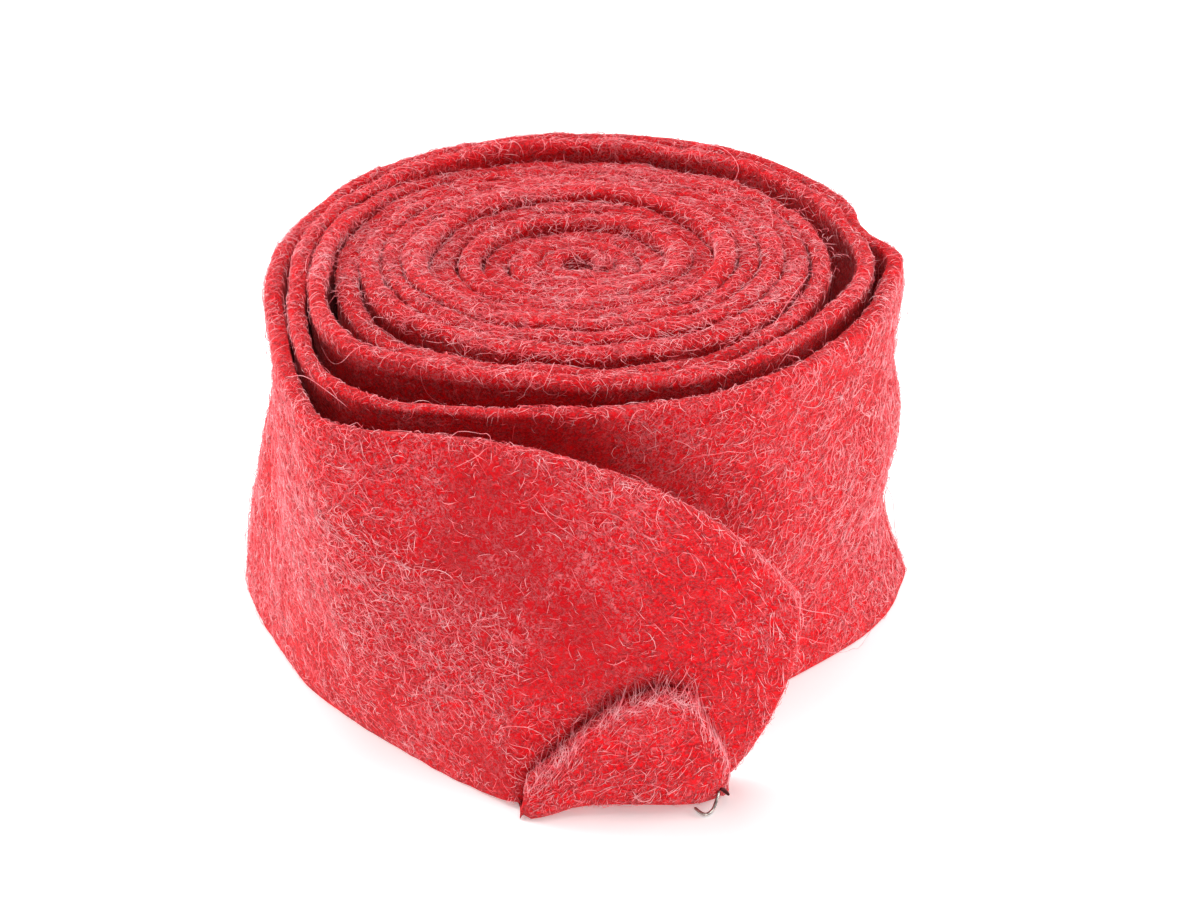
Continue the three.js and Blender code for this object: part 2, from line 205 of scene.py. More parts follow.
# Share of thickness that slack places of the inner turns lose, and the turns where that ends.
SLACK = 0.22
SLACK_UNTIL, SLACK_NONE = 8.0, 9.5
# Narrowed cross-sections that round each end: step ahead and share of the full size.
END_SECTIONS = [(0.6, 0.85), (1.0, 0.45)]


def smooth_at(values, t):
    """Smooth curve through evenly spaced values; t counts values."""
    values = np.asarray(values, float)
    t = np.asarray(t, float)
    last = len(values) - 1
    i = np.clip(np.floor(t).astype(int), 0, last - 1)
    f = t - i
    at = [values[np.clip(i + n, 0, last)] for n in (-1, 0, 1, 2)]
    before = (at[2] - at[0]) / 2
    after = (at[3] - at[1]) / 2
    f2 = f * f
    f3 = f2 * f
    return (at[1] * (2 * f3 - 3 * f2 + 1) + before * (f3 - 2 * f2 + f)
            + at[2] * (3 * f2 - 2 * f3) + after * (f3 - f2))


def smoothstep(x, low, high):
    t = np.clip((x - low) / (high - low), 0, 1)
    return t * t * (3 - 2 * t)


def unit(v):
    return v / np.maximum(np.linalg.norm(v, axis=-1, keepdims=True), 1e-9)


class Ripple:
    """Smooth noise from sine waves of random direction, about -1 to 1, for points in millimetres."""

    def __init__(self, seed, wavelength, count=7):
        rng = np.random.default_rng(seed)
        turns = unit(rng.normal(size=(count, 3)))
        self.waves = turns * (2 * np.pi / wavelength) * rng.uniform(0.7, 1.5, (count, 1))
        self.phases = rng.uniform(0, 2 * np.pi, count)
        self.scale = 1.6 / count

    def __call__(self, points):
        return np.sin(np.asarray(points) @ self.waves.T + self.phases).sum(-1) * self.scale


def turn_radius(place):
    """Radius of the band's middle at the top, for places counted in turns."""
    r = smooth_at(RADII, place * SIDES)
    for turn, angle, spread, push in PUSHES:
        away = ((place - turn) * 360 - angle) / spread
        r = r + push * np.exp(-away * away)
    return r


def turn_height(place):
    return smooth_at(HEIGHTS, place * SIDES)


def wall_offset(angle, z, height):
    """How far the wall of the roll stands out from its top edge."""
    t = (angle % 360) / WALL_STEP
    down = 1 - z / height
    low = np.maximum(0, 1 - z / FOOT_HEIGHT)
    wave = np.cos(down * np.pi * WALL_WAVES) * np.sin(down * np.pi)
    return (smooth_at(WALL_LEAN, t) * down + smooth_at(WALL_FOOT, t) * low * low
            + smooth_at(WALL_WAVE, t) * wave)


def wound_points(place, lengths):
    """Middle of the band and its outward direction for each place and each length below the top."""
    angle = place * 2 * np.pi
    radius = turn_radius(place)
    top = turn_height(place)
    z = top[:, None] * (1 - lengths)
    share = np.clip(1 - (LAST_PLACE - 1 - place) / LEAN_TURNS, 0, 1)[:, None]
    share = np.where((LAST_PLACE - place)[:, None] < 1, 1.0, share)
    offset = wall_offset(np.degrees(angle)[:, None], z, top[:, None]) * share
    r = radius[:, None] + offset
    out = np.stack([np.cos(angle), np.sin(angle), np.zeros_like(angle)], -1)
    middle = r[..., None] * out[:, None, :]
    middle[..., 2] = z
    return middle, np.repeat(out[:, None, :], lengths.shape[1], 1)


# The loose end starts where the outermost turn ends.
START_ANGLE = LAST_PLACE * 2 * math.pi
START_RADIUS = float(turn_radius(np.array(LAST_PLACE)))
START_TOP = float(turn_height(np.array(LAST_PLACE)))
START_OUT = np.array([math.cos(START_ANGLE), math.sin(START_ANGLE), 0.0])
START_LOW = START_RADIUS + float(wall_offset(math.degrees(START_ANGLE), 0.0, START_TOP))
LOOSE[0, 0:2] = START_RADIUS * START_OUT[:2]
LOOSE[0, 2] = START_TOP
LOOSE[0, 3:5] = START_LOW * START_OUT[:2]


def loose_middle(u, v):
    """Middle surface of the loose end: u counts the rows of LOOSE, v runs from the top edge down."""
    u, v = np.broadcast_arrays(np.asarray(u, float), np.asarray(v, float))
    at = [smooth_at(column, u) for column in LOOSE.T]
    top = np.stack(at[0:3], -1)
    low = np.stack(at[3:6], -1)
    middle = top + (low - top) * v[..., None]
    outward = unit(middle * (1, 1, 0))
    arch = 4 * v * (1 - v)
    waist = np.minimum(at[OUT], 0) * WAIST_RISE * np.sin(2 * np.pi * v)
    middle = middle + outward * (at[OUT] * arch * (BOW_TOP - BOW_FALL * v) + waist)[..., None]
    middle[..., 0] += at[SWAY] * arch
    profile = wall_offset(math.degrees(START_ANGLE), START_TOP * (1 - v), START_TOP)
    bow = arch * (BOW_TOP - BOW_FALL * v) + WAIST_RISE * np.sin(2 * np.pi * v)
    straight = (START_LOW - START_RADIUS) * v + LOOSE[0, OUT] * bow
    fade = np.clip(1 - u / JOIN_ROWS, 0, 1) ** 2
    return middle + START_OUT * ((profile - straight) * fade)[..., None]


def loose_normal(u, v):
    """Direction in which the front face of the loose end looks."""
    d = 0.02
    last = len(LOOSE) - 1
    along = loose_middle(np.minimum(u + d, last), v) - loose_middle(np.maximum(u - d, 0), v)
    down = loose_middle(u, np.minimum(v + d, 1)) - loose_middle(u, np.maximum(v - d, 0))
    return unit(np.cross(down, along))


def row_lengths(tall, fold, crowd):
    """Lengths below the top edge of the band's rows; they crowd round the bend of the fold."""
    face = (tall - FOLD_START) * np.arange(FACE_ROWS) / FACE_ROWS
    rest = BEND_ROWS + FLAP_ROWS
    j = np.arange(rest + 1)
    bend = min(fold * BEND_SHARE, math.pi * FOLD_RADIUS)
    sharp = smoothstep(fold, 0, FOLD_TIGHT)
    even = -FOLD_START + (FOLD_START + fold) * j / rest
    in_bend = bend * (j - 1) / (BEND_ROWS - 1)
    above = bend + (fold - bend) * (j - BEND_ROWS) / FLAP_ROWS
    placed = np.where(j == 0, -FOLD_START, np.where(j <= BEND_ROWS, in_bend, above))
    crowded = np.concatenate([face, tall + even + (placed - even) * sharp])
    spread = tall * np.arange(ROWS) / (ROWS - 1)
    return spread + (crowded - spread) * crowd


def loose_station(u):
    """Middle points and face directions of one station of the loose end."""
    top = loose_middle(u, 0.0)
    tall = float(np.linalg.norm(top - loose_middle(u, 1.0)))
    fold = float(np.interp(u, FOLD_AT, FOLD_LENGTH))
    crowd = float(smoothstep(u, CROWD_FROM, CROWD_TO))
    lengths = row_lengths(tall, fold, crowd)
    v = np.minimum(lengths / tall, 1)
    middle = loose_middle(u, v)
    normal = loose_normal(u, v)
    foot = loose_middle(u, 1.0)
    out = loose_normal(u, 1.0)
    down = unit(foot - loose_middle(u, NEAR_FOOT))
    for k in np.nonzero(lengths > tall + 1e-9)[0]:
        past = lengths[k] - tall
        turn = min(past / FOLD_RADIUS, math.pi)
        if turn < math.pi:
            below, ahead = FOLD_RADIUS * math.sin(turn), FOLD_RADIUS * (1 - math.cos(turn))
            middle[k] = foot + down * below + out * ahead
            normal[k] = out * math.cos(turn) - down * math.sin(turn)
        else:
            up = past - math.pi * FOLD_RADIUS
            back = 1 - up / tall
            n = loose_normal(u, back)
            spring = FOLD_SPRING * (up / SPRING_LENGTH) ** SPRING_POWER
            middle[k] = loose_middle(u, back) + n * (2 * FOLD_RADIUS + spring)
            normal[k] = -n
    return middle, normal


def stations():
    """Middle points and face directions of the whole band, station by station, from the eye outwards."""
    places = [0.0]
    while places[-1] < LAST_PLACE:
        p = places[-1]
        spacing = INNER_SPACING if p < CLOSER_FROM else OUTER_SPACING
        places.append(p + spacing / (2 * math.pi * float(turn_radius(np.array(p)))))
    places = np.array(places[:-1])
    even = np.repeat(np.linspace(0, 1, ROWS)[None, :], len(places), 0)
    middle, normal = wound_points(places, even)
    rows = list(zip(middle, normal))
    samples = np.linspace(0, len(LOOSE) - 1, PATH_SAMPLES)
    path = loose_middle(samples, PATH_LEVEL)
    run = np.concatenate([[0], np.cumsum(np.linalg.norm(np.diff(path, axis=0), axis=1))])
    count = int(run[-1] / OUTER_SPACING)
    marks = np.interp(np.arange(1, len(LOOSE)), samples, run)
    lengths = np.concatenate([np.linspace(FIRST_STEP, run[-1], count), marks[FOLD_ROW - 1:]])
    lengths = np.unique(np.round(lengths, 3))
    keep = np.concatenate([[True], np.diff(lengths) > LEAST_STEP])
    for u in np.interp(lengths[keep], run, samples):
        rows.append(loose_station(float(min(u, len(LOOSE) - 1))))
    return np.array([r[0] for r in rows]), np.array([r[1] for r in rows]), places


def half_widths(places):
    """Half thickness of the band towards the turn outside and the turn inside, at each place."""
    half = SWOLLEN_HALF + (HALF - SWOLLEN_HALF) * smoothstep(places, SWOLLEN_TO, PLAIN_FROM)
    radius = turn_radius(places)
    outer_gap = turn_radius(places + 1) - radius
    inner_gap = radius - turn_radius(np.maximum(places - 1, 0))
    outer = np.where(places + 1 < LAST_PLACE, np.minimum(half, outer_gap / 2 - TURN_GAP), HALF)
    inner = np.where(places > 1, np.minimum(half, inner_gap / 2 - TURN_GAP), HALF)
    return np.stack([outer, inner])


def band_grid():
    """Closed cross-sections of the band, one for each station, as points in millimetres."""
    middle, normal, places = stations()
    wound = len(places)
    drift = Ripple(3, 30.0)
    fine = Ripple(4, 9.0, 9)
    nubs = Ripple(5, 4.5, 11)
    side = Ripple(6, 24.0)
    tops = middle[:, 0, :]
    run = np.concatenate([[0], np.cumsum(np.linalg.norm(np.diff(tops, axis=0), axis=1))])
    own = Ripple(7, 24.0)(np.stack([run, 0 * run, 0.3 * run], -1))
    lift = TOP_DRIFT * drift(tops) + TOP_FINE * fine(tops) + TOP_NUBS * nubs(tops)
    lift += TOP_OWN * own * smoothstep(np.arange(len(tops)), wound + OWN_NONE, wound + OWN_FULL)
    level = np.linspace(0, 1, ROWS)[None, :]
    upper = np.clip(1 - level / UPPER_SHARE, 0, 1) ** UPPER_POWER
    middle[..., 2] += lift[:, None] * upper
    outer = smoothstep(np.arange(len(middle)), wound + SWAY_FROM, wound + SWAY_FULL)[:, None]
    sway = FACE_DRIFT * side(middle) + FACE_FINE * fine(middle)
    middle += normal * (sway * (INNER_SWAY + ADDED_SWAY * outer))[..., None]
    rough = 1 + ROUGH_FINE * fine(middle + 40) + ROUGH_NUBS * nubs(middle + 80)
    half_out = np.full(len(middle), HALF)
    half_in = np.full(len(middle), HALF)
    inner = 1 - smoothstep(places, SLACK_UNTIL, SLACK_NONE)
    loose_here = np.clip(Ripple(8, 16.0)(tops[:wound]), 0, 1) * inner
    slack = 1 - SLACK * loose_here
    half_out[:wound], half_in[:wound] = half_widths(places) * slack
    thick_out = half_out[:, None] * rough
    thick_in = half_in[:, None] * rough
    down = unit(np.gradient(middle, axis=1))
    cap_cos = np.sign(np.cos(CAP_ANGLES)) * np.abs(np.cos(CAP_ANGLES)) ** CAP_POWER
    cap_sin = np.abs(np.sin(CAP_ANGLES)) ** CAP_POWER
    first, last = middle[:, 0], middle[:, -1]
    inset_top = down[:, 0] * (TOP_ROUNDING * (half_out + half_in) / 2)[:, None]
    inset_low = down[:, -1] * LOW_ROUNDING
    faces = middle.copy()
    faces[:, 0] += inset_top
    faces[:, -1] -= inset_low
    outside = faces + normal * thick_out[..., None]
    inside = (faces - normal * thick_in[..., None])[:, ::-1]
    low_cap = []
    top_cap = []
    for c, s in zip(cap_cos, cap_sin):
        low_side = thick_out[:, -1] if c > 0 else thick_in[:, -1]
        top_side = thick_in[:, 0] if c > 0 else thick_out[:, 0]
        low_cap.append(last - inset_low * (1 - s) + normal[:, -1] * (low_side * c)[:, None])
        top_cap.append(first + inset_top * (1 - s) - normal[:, 0] * (top_side * c)[:, None])
    grid = np.concatenate([outside, np.stack(low_cap, 1), inside, np.stack(top_cap, 1)], 1)
    grid[..., 2] = np.maximum(grid[..., 2], 0)
    return rounded_ends(grid)


def facing_point(rows):
    """For each point of a cross-section, the point that faces it on the other side of the band."""
    return (2 * ROWS + len(CAP_ANGLES) - 1 - np.arange(rows)) % rows


def rounded_ends(grid):
    """Adds narrowing cross-sections at each end of the band."""
    centre = grid.mean(1, keepdims=True)
    mirror = facing_point(grid.shape[1])

    def narrowed(section, ahead, step, share):
        middle = (section + section[mirror]) / 2
        return (middle + (section - middle) * share + ahead * step)[None]

    begin = unit((centre[0] - centre[1]) * (1, 1, 0))
    finish = unit(grid[-1] - grid[-3])
    before = [narrowed(grid[0], begin, step, share) for step, share in END_SECTIONS[::-1]]
    after = [narrowed(grid[-1], finish, step, share) for step, share in END_SECTIONS]
    ended = np.concatenate([*before, grid, *after])
    ended[..., 2] = np.maximum(ended[..., 2], 0)
    return ended


def mesh_object(name, points, faces, material, smooth=True):
    """Object from points in millimetres and faces of equal size."""
    mesh = bpy.data.meshes.new(name)
    faces = np.asarray(faces, np.int32)
    sides = faces.shape[1]
    mesh.vertices.add(len(points))
    mesh.vertices.foreach_set("co", (np.asarray(points) * MM).astype(np.float32).ravel())
    mesh.loops.add(faces.size)
    mesh.loops.foreach_set("vertex_index", faces.ravel())
    mesh.polygons.add(len(faces))
    mesh.polygons.foreach_set("loop_start", np.arange(0, faces.size, sides, dtype=np.int32))
    mesh.polygons.foreach_set("use_smooth", np.full(len(faces), smooth))
    mesh.update(calc_edges=True)
    mesh.validate()
    mesh.materials.append(material)
    obj = bpy.data.objects.new(name, mesh)
    bpy.context.scene.collection.objects.link(obj)
    return obj


def band_faces(count, rows):
    """Triangles between the cross-sections and across the two ends."""
    i = np.arange(count - 1)[:, None] * rows
    j = np.arange(rows)[None, :]
    k = (j + 1) % rows
    quads = np.stack([i + j, i + k, i + rows + k, i + rows + j], -1).reshape(-1, 4)
    mirror = facing_point(rows)
    ends = []
    for base, flip in ((0, True), ((count - 1) * rows, False)):
        for a in range(rows):
            b = (a + 1) % rows
            c, d = mirror[b], mirror[a]
            if a < d and b < c and len({a, b, c, d}) >= 3:
                for corners in ((a, b, c), (a, c, d)):
                    if len(set(corners)) == 3:
                        face = tuple(base + corner for corner in corners)
                        ends.append(face[::-1] if flip else face)
    return np.concatenate([quads[:, [0, 1, 2]], quads[:, [0, 2, 3]], np.array(ends)])


# Materials, all from noise nodes in the object's own coordinates, which are metres.
def new_material(name):
    """Material with one empty principled shader."""
    material = bpy.data.materials.new(name)
    material.use_nodes = True
    tree = material.node_tree
    tree.nodes.clear()
    output = tree.nodes.new("ShaderNodeOutputMaterial")
    shader = tree.nodes.new("ShaderNodeBsdfPrincipled")
    tree.links.new(shader.outputs["BSDF"], output.inputs["Surface"])
    return material, tree, shader


class Nodes:
    """Short ways to add the nodes that the materials share."""

    def __init__(self, tree):
        self.tree = tree
        self.place = tree.nodes.new("ShaderNodeTexCoord").outputs["Object"]

    def link(self, value, socket):
        if isinstance(value, bpy.types.NodeSocket):
            self.tree.links.new(value, socket)
        else:
            socket.default_value = value

    def noise(self, scale, detail=2.0, roughness=0.5, distortion=0.0, shift=None):
        node = self.tree.nodes.new("ShaderNodeTexNoise")
        node.inputs["Scale"].default_value = scale
        node.inputs["Detail"].default_value = detail
        node.inputs["Roughness"].default_value = roughness
        node.inputs["Distortion"].default_value = distortion
        source = self.place
        if shift is not None:
            moved = self.tree.nodes.new("ShaderNodeMapping")
            moved.inputs["Location"].default_value = shift
            self.tree.links.new(source, moved.inputs["Vector"])
            source = moved.outputs["Vector"]
        self.tree.links.new(source, node.inputs["Vector"])
        return node.outputs["Fac"]

    def math(self, operation, a, b=0.0):
        node = self.tree.nodes.new("ShaderNodeMath")
        node.operation = operation
        self.link(a, node.inputs[0])
        self.link(b, node.inputs[1])
        return node.outputs[0]

    def between(self, value, low, high, to_low=0.0, to_high=1.0):
        node = self.tree.nodes.new("ShaderNodeMapRange")
        node.interpolation_type = "SMOOTHSTEP"
        self.link(value, node.inputs["Value"])
        node.inputs["From Min"].default_value = low
        node.inputs["From Max"].default_value = high
        node.inputs["To Min"].default_value = to_low
        node.inputs["To Max"].default_value = to_high
        return node.outputs["Result"]

    def mix(self, share, a, b):
        node = self.tree.nodes.new("ShaderNodeMix")
        node.data_type = "RGBA"
        self.link(share, node.inputs[0])
        self.link(a, node.inputs[6])
        self.link(b, node.inputs[7])
        return node.outputs[2]

    def bump(self, height, distance, strength=1.0):
        node = self.tree.nodes.new("ShaderNodeBump")
        node.inputs["Strength"].default_value = strength
        node.inputs["Distance"].default_value = distance
        self.link(height, node.inputs["Height"])
        return node.outputs["Normal"]

    def strands(self, scale, width, shift, distortion):
        """Thin curling lines along the middle value of a warped noise, broken up by a second one."""
        warped = self.noise(scale, 1.0, 0.4, distortion, shift)
        away = self.math("ABSOLUTE", self.math("SUBTRACT", warped, 0.5))
        line = self.between(away, 0.0, width, 1.0, 0.0)
        breaks = self.noise(scale * 0.8, 1.0, 0.5, 0.0, (shift[1], shift[2], shift[0]))
        return self.math("MULTIPLY", line, self.between(breaks, 0.42, 0.56))


# Colours of the wool, of the painted shade on it, of the thin pale strands on it and of the wire.
DARK_RED = (0.34, 0.002, 0.006, 1.0)
PAINTED_SHADE_RED = (0.42, 0.002, 0.006, 1.0)
PLAIN_RED = (0.70, 0.003, 0.008, 1.0)
BRIGHT_RED = (0.82, 0.012, 0.018, 1.0)
STRAND_PINK = (0.90, 0.13, 0.16, 1.0)
STRAND_PALE = (0.93, 0.36, 0.39, 1.0)
SHEEN_PINK = (1.0, 0.62, 0.64, 1.0)
WIRE_DULL = (0.30, 0.27, 0.25, 1.0)
WIRE_BRIGHT = (0.52, 0.48, 0.44, 1.0)
TIP_DARK = (0.06, 0.012, 0.014, 1.0)
FLOOR_PALE = (0.93, 0.93, 0.93, 1.0)
WHITE = (1.0, 1.0, 1.0, 1.0)
FELT_BUMP = 0.00035
WIRE_BUMP = 0.00005
# The wire is dark from here on, in metres to the right.
TIP_FROM, TIP_FULL = 0.0264, 0.0267

# Painted shade on the front of the loose end, where it lies in shade: centre x, y, z, radius, share of the
# painted shade red.
PAINTED_SHADE_PATCHES = [
    (-15.0, -78.0, 52.0, 30.0, 0.75),
    (3.0, -82.6, 36.0, 20.0, 0.5),
    (-16.5, -82.2, 8.0, 12.0, 0.5),
]


def felt_material():
    """Red wool in patches, with painted shade in places, thin pale strands and a fine relief."""
    material, tree, shader = new_material("felt_red")
    n = Nodes(tree)
    patch = n.between(n.noise(42, 3, 0.55, 0.4, (0.31, 0.17, 0.05)), 0.36, 0.66)
    cloud = n.noise(260, 4, 0.6, 0.2, (0.11, 0.47, 0.23))
    grain = n.noise(1700, 3, 0.6, 0.0, (0.71, 0.13, 0.37))
    layers = [
        n.strands(520, 0.045, (0.13, 0.29, 0.41), 1.4),
        n.strands(700, 0.050, (0.57, 0.83, 0.19), 1.1),
        n.strands(900, 0.055, (0.91, 0.37, 0.67), 0.9),
        n.strands(640, 0.040, (0.43, 0.61, 0.97), 1.8),
    ]
    web = layers[0]
    for layer in layers[1:]:
        web = n.math("MAXIMUM", web, layer)
    ground = n.mix(n.between(grain, 0.34, 0.62), DARK_RED, PLAIN_RED)
    ground = n.mix(n.between(cloud, 0.45, 0.75, 0.0, 0.6), ground, BRIGHT_RED)
    # Painted shade: round each of these centres the wool is mixed towards the painted shade red.
    for x, y, z, radius, share in PAINTED_SHADE_PATCHES:
        away = tree.nodes.new("ShaderNodeVectorMath")
        away.operation = "DISTANCE"
        tree.links.new(n.place, away.inputs[0])
        away.inputs[1].default_value = (x * MM, y * MM, z * MM)
        near = n.between(away.outputs["Value"], 0.0, radius * MM, share, 0.0)
        ground = n.mix(near, ground, PAINTED_SHADE_RED)
    pale = n.mix(n.noise(300, 2, 0.5), STRAND_PINK, STRAND_PALE)
    share = n.math("MULTIPLY", web, n.between(patch, 0.0, 1.0, 0.15, 0.5))
    colour = n.mix(share, ground, pale)
    n.link(colour, shader.inputs["Base Color"])
    height = n.math("ADD", n.math("MULTIPLY", web, 0.7), n.math("MULTIPLY", grain, 0.6))
    height = n.math("ADD", height, n.math("MULTIPLY", cloud, 0.8))
    n.link(n.bump(height, FELT_BUMP, 0.8), shader.inputs["Normal"])
    shader.inputs["Roughness"].default_value = 0.92
    shader.inputs["Specular IOR Level"].default_value = 0.15
    shader.inputs["Sheen Weight"].default_value = 0.12
    shader.inputs["Sheen Roughness"].default_value = 0.4
    shader.inputs["Sheen Tint"].default_value = SHEEN_PINK
    return material


def fibre_material(name, low, high):
    material, tree, shader = new_material(name)
    n = Nodes(tree)
    colour = n.mix(n.between(n.noise(420, 2, 0.6), 0.35, 0.65), low, high)
    n.link(colour, shader.inputs["Base Color"])
    shader.inputs["Roughness"].default_value = 0.6
    shader.inputs["Specular IOR Level"].default_value = 0.2
    return material


def wire_material():
    """Worn steel wire with a dark tip."""
    material, tree, shader = new_material("bent_wire")
    n = Nodes(tree)
    wear = n.noise(900, 3, 0.6)
    colour = n.mix(n.between(wear, 0.4, 0.65), WIRE_DULL, WIRE_BRIGHT)
    axes = tree.nodes.new("ShaderNodeSeparateXYZ")
    tree.links.new(n.place, axes.inputs[0])
    tip = n.between(axes.outputs[0], TIP_FROM, TIP_FULL)
    colour = n.mix(tip, colour, TIP_DARK)
    n.link(colour, shader.inputs["Base Color"])
    n.link(n.between(wear, 0.3, 0.7, 0.28, 0.5), shader.inputs["Roughness"])
    n.link(n.bump(wear, WIRE_BUMP, 0.4), shader.inputs["Normal"])
    shader.inputs["Metallic"].default_value = 1.0
    return material


def floor_material():
    material, _, shader = new_material("pale_floor")
    shader.inputs["Base Color"].default_value = FLOOR_PALE
    shader.inputs["Emission Color"].default_value = WHITE
    shader.inputs["Emission Strength"].default_value = 0.25
    shader.inputs["Roughness"].default_value = 0.8
    shader.inputs["Specular IOR Level"].default_value = 0.1
    return material


# Fibres: thin closed strands that follow the cloth a little above it.
SAMPLE_SPACING = 0.96
LEAST_GAP = 0.4
FLOOR_CLEAR = 0.15
# Rays that test how open each place is; those that soon meet the floor count half.
SKY_RAYS = 9
SKY_REACH = 45.0
SKY_SPREAD = 0.92
RAY_START = 0.25
GOLDEN = 0.618
FLOOR_REACH = 30
FLOOR_LEVEL = -6


def even_surface(grid, spacing=SAMPLE_SPACING):
    """The band's surface as points round each cross-section, evenly spaced down both faces from the top
    edge, with outward directions. Where the band ends sooner, the last points lie on its low edge."""
    closed = np.concatenate([grid, grid[:, :1]], 1)
    run = np.linalg.norm(np.diff(closed, axis=1), axis=2)
    run = np.concatenate([np.zeros((len(grid), 1)), np.cumsum(run, 1)], 1)
    half = int(math.ceil(run[:, -1].max() / 2 / spacing))
    down = (np.arange(half) + 0.5) * spacing
    points = np.empty((len(grid), 2 * half, 3))
    for i in range(len(grid)):
        face = np.minimum(down, run[i, -1] / 2)
        at = np.concatenate([face, run[i, -1] - face[::-1]])
        for axis in range(3):
            points[i, :, axis] = np.interp(at, run[i], closed[i, :, axis])
    along = np.gradient(points, axis=0)
    round_it = np.roll(points, -1, 1) - np.roll(points, 1, 1)
    normal = unit(np.cross(round_it, along))
    return points, normal


def exposure(points, normal, grid_points, grid_faces):
    """Share of the sky above each point that the band itself doesn't hide."""
    tree = BVHTree.FromPolygons(grid_points.tolist(), grid_faces.tolist())
    rng = np.random.default_rng(11)
    tangent = unit(np.cross(normal, (0.31, 0.52, 0.79)))
    other = np.cross(normal, tangent)
    seen = np.zeros(len(points))
    starts = points + normal * RAY_START
    for k in range(SKY_RAYS):
        turn = 2 * math.pi * (k * GOLDEN + 0.1 * rng.random())
        tilt = math.asin(math.sqrt((k + 0.5) / SKY_RAYS)) * SKY_SPREAD
        ray = (normal * math.cos(tilt) + tangent * math.sin(tilt) * math.cos(turn)
               + other * math.sin(tilt) * math.sin(turn))
        below = ray[:, 2] * FLOOR_REACH + starts[:, 2] < FLOOR_LEVEL
        for i, (a, d) in enumerate(zip(starts.tolist(), ray.tolist())):
            if tree.ray_cast(a, d, SKY_REACH)[0] is None:
                seen[i] += 0.5 if below[i] else 1.0
    return seen / SKY_RAYS


class Felt:
    """Evenly spaced points of the band, for placing fibres on it by a walk along the cloth."""

    def __init__(self, grid):
        self.points, self.normal = even_surface(grid)
        self.count, self.across = self.points.shape[:2]
        step = np.linalg.norm(np.diff(self.points, axis=0), axis=2)
        self.step = np.concatenate([step, step[-1:]], 0)
        self.gap = np.linalg.norm(np.roll(self.points, -1, 1) - self.points, axis=2)

    def inside(self, s):
        """Place along the band, kept short of its last cross-section."""
        return np.clip(s, 0, self.count - 1.001)

    def look_up(self, table, s, c):
        s = self.inside(s)
        i = s.astype(int)
        f = (s - i)[..., None]
        j = np.floor(c).astype(int)
        g = (c - j)[..., None]
        j0, j1 = j % self.across, (j + 1) % self.across
        return ((table[i, j0] * (1 - g) + table[i, j1] * g) * (1 - f)
                + (table[i + 1, j0] * (1 - g) + table[i + 1, j1] * g) * f)

    def walk(self, s, c, heading, turns, step, lift):
        """Points of strands that start at (s, c), turn at each step and lie lift above the cloth."""
        places = []
        for k in range(lift.shape[1]):
            n = unit(self.look_up(self.normal, s, c))
            places.append(self.look_up(self.points, s, c) + n * lift[:, k, None])
            if k < turns.shape[1]:
                heading = heading + turns[:, k]
                i = self.inside(s).astype(int)
                j = np.floor(c).astype(int) % self.across
                s = s + np.cos(heading) * step / np.maximum(self.step[i, j], LEAST_GAP)
                c = c + np.sin(heading) * step / np.maximum(self.gap[i, j], LEAST_GAP)
                s = self.inside(s)
        return np.stack(places, 1)


def strand_mesh(paths, radius):
    """Closed three-sided strands along paths (strand, point, xyz), pointed at both ends."""
    above = paths[..., 2].min(1) > FLOOR_CLEAR
    paths, radius = paths[above], radius[above]
    count, points = paths.shape[:2]
    tangent = unit(np.gradient(paths, axis=1))
    reference = unit(np.random.default_rng(5).normal(size=(count, 1, 3)))
    u = unit(np.cross(tangent, reference))
    w = np.cross(tangent, u)
    inner = np.arange(1, points - 1)
    rings = points - 2
    taper = np.sin(np.linspace(0.25, 0.85, rings) * math.pi)[None, :, None]
    size = radius[:, None, None] * (0.55 + 0.45 * taper)
    corners = []
    for k in range(3):
        a = 2 * math.pi * k / 3
        aside = u[:, inner] * math.cos(a) + w[:, inner] * math.sin(a)
        corners.append(paths[:, inner] + aside * size)
    ring = np.stack(corners, 2).reshape(count, rings * 3, 3)
    vertices = np.concatenate([paths[:, :1], ring, paths[:, -1:]], 1)
    faces = []
    last = rings * 3 + 1
    for k in range(3):
        m = (k + 1) % 3
        faces.append((0, 1 + m, 1 + k))
        faces.append((last, last - 3 + k, last - 3 + m))
        for r in range(rings - 1):
            a, b = 1 + r * 3 + k, 1 + r * 3 + m
            faces.append((a, b, b + 3))
            faces.append((a, b + 3, a + 3))
    faces = np.array(faces)
    per = vertices.shape[1]
    all_faces = (faces[None] + (np.arange(count) * per)[:, None, None]).reshape(-1, 3)
    return vertices.reshape(-1, 3), all_faces


def joined(parts):
    """Points and faces of several meshes as one."""
    points, faces, start = [], [], 0
    for p, f in parts:
        points.append(p)
        faces.append(f + start)
        start += len(p)
    return np.concatenate(points), np.concatenate(faces)


def tube(path, radii, sides):
    """Closed round tube along a path, with a flat fan closing each end."""
    path = np.asarray(path, float)
    tangent = unit(np.gradient(path, axis=0))
    u = unit(np.cross(tangent, (0.2, 0.1, 1.0)))
    w = np.cross(tangent, u)
    angle = np.arange(sides) * 2 * math.pi / sides
    ring = u[:, None] * np.cos(angle)[None, :, None] + w[:, None] * np.sin(angle)[None, :, None]
    points = (path[:, None] + ring * np.asarray(radii)[:, None, None]).reshape(-1, 3)
    faces = []
    for i in range(len(path) - 1):
        for k in range(sides):
            m = (k + 1) % sides
            a, b = i * sides + k, i * sides + m
            faces += [(a, b, b + sides), (a, b + sides, a + sides)]
    start, end = len(points), len(points) + 1
    points = np.concatenate([points, path[:1], path[-1:]])
    base = (len(path) - 1) * sides
    for k in range(sides):
        m = (k + 1) % sides
        faces += [(start, m, k), (end, base + k, base + m)]
    return points, np.array(faces)


# The band itself.
grid = band_grid()
band_points = grid.reshape(-1, 3)
triangles = band_faces(*grid.shape[:2])
band = mesh_object("felt_band", band_points, triangles, felt_material())
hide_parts("wound_roll", "loose_end")
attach(band, "root")
